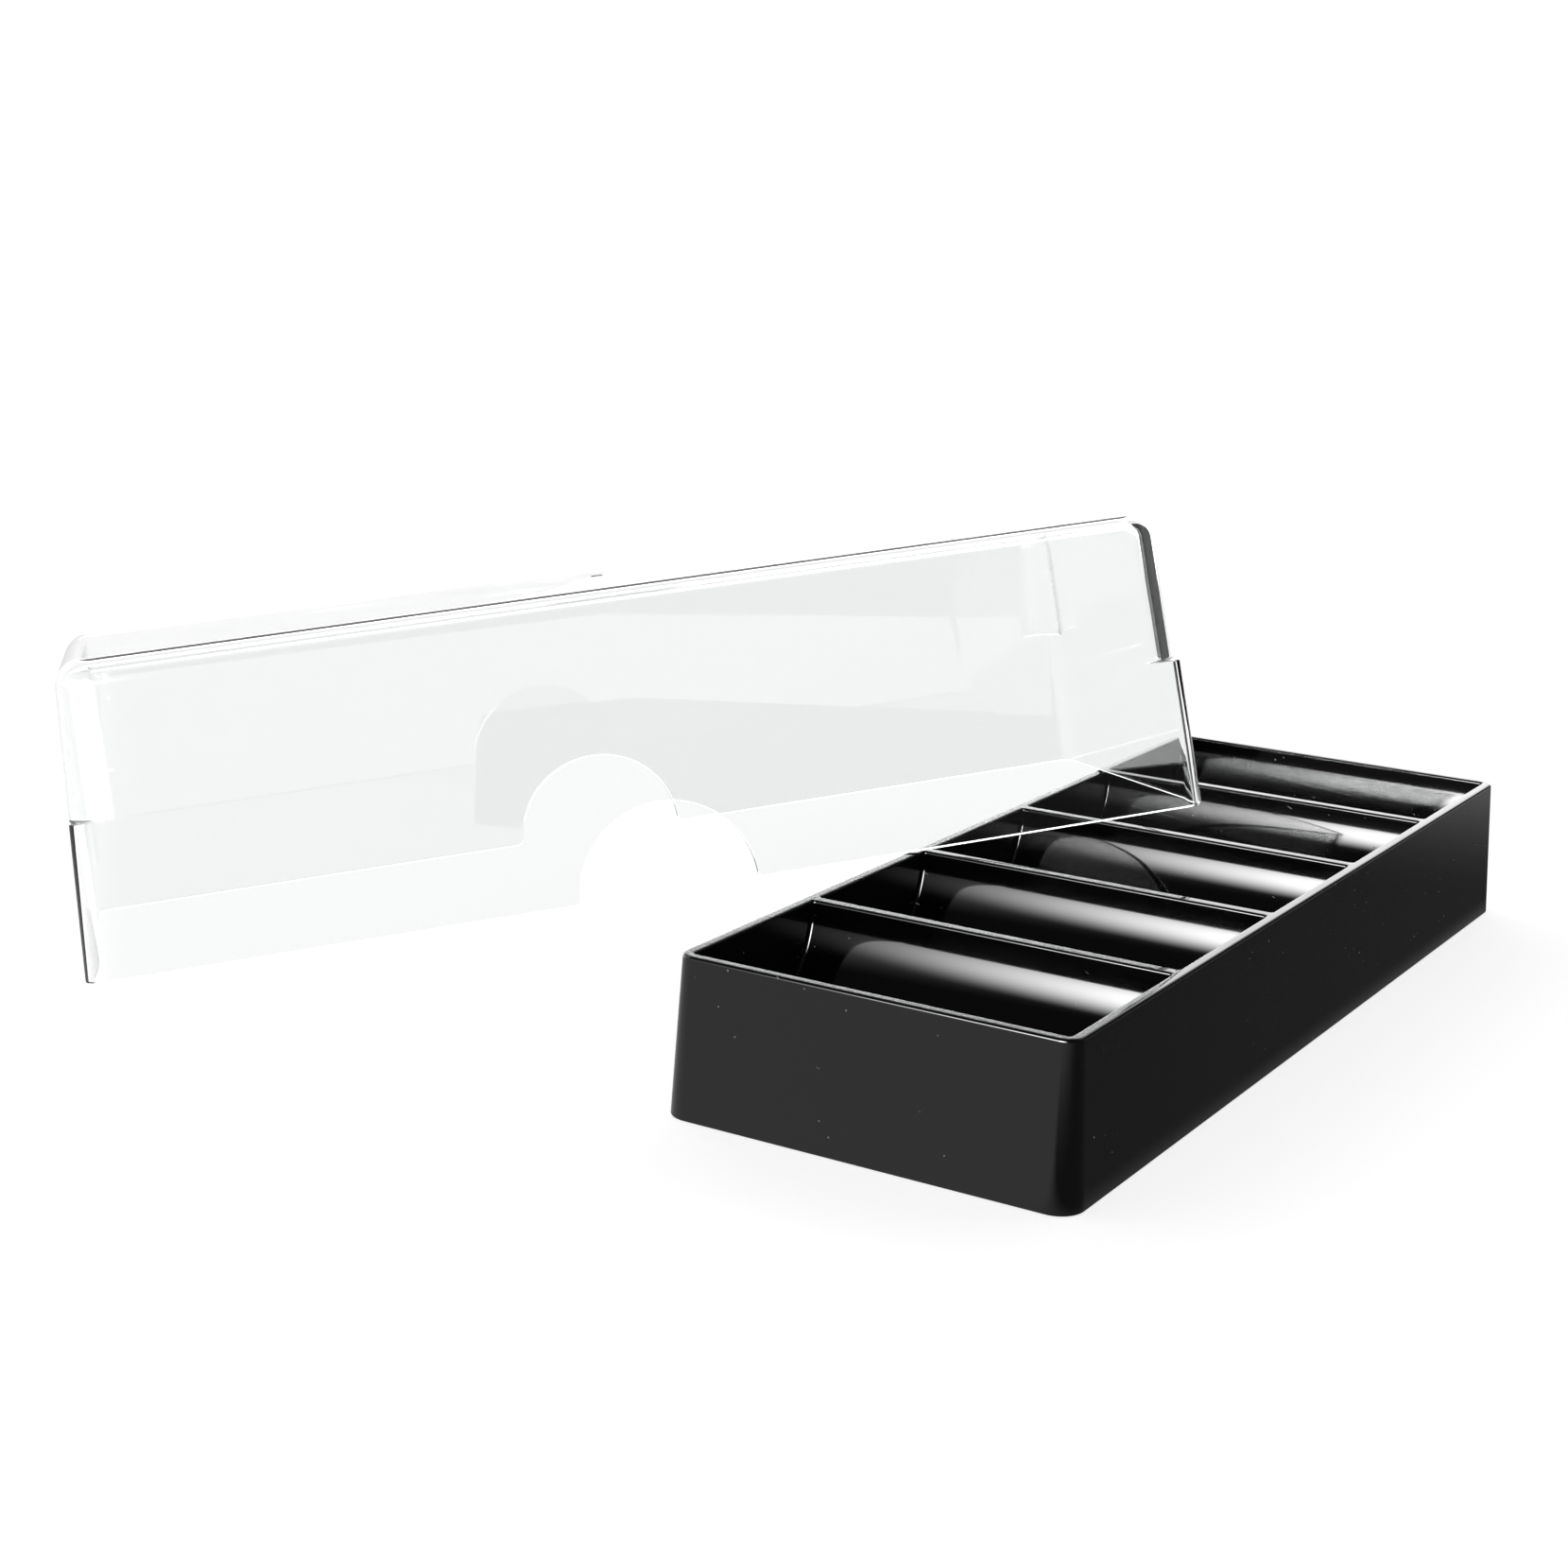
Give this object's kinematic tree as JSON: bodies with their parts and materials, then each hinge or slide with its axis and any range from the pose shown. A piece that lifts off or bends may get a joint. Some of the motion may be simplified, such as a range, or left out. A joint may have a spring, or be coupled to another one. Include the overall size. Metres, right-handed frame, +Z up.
{
  "type": "chip rack",
  "caption": "Black gloss tray with round-bottomed channels for rows of gaming chips, with its clear drop-over cover laid across the back edge.",
  "frame": {"origin": "on the table under the middle of the tray", "axes": "+X along the tray's long side, +Y towards the side the cover lies across, +Z up"},
  "size_m": [0.2484, 0.2509, 0.0948],
  "materials": {
    "tray": "high gloss black moulded plastic",
    "cover": "clear polished moulded plastic"
  },
  "bodies": {
    "tray": {"tray": "tray"},
    "cover": {"cover": "cover"}
  },
  "joints": [
    {"name": "cover_lift", "type": "slide", "parent": "tray", "child": "cover", "axis": [0, 0, 1], "range_m": [0, 0.1]}
  ]
}
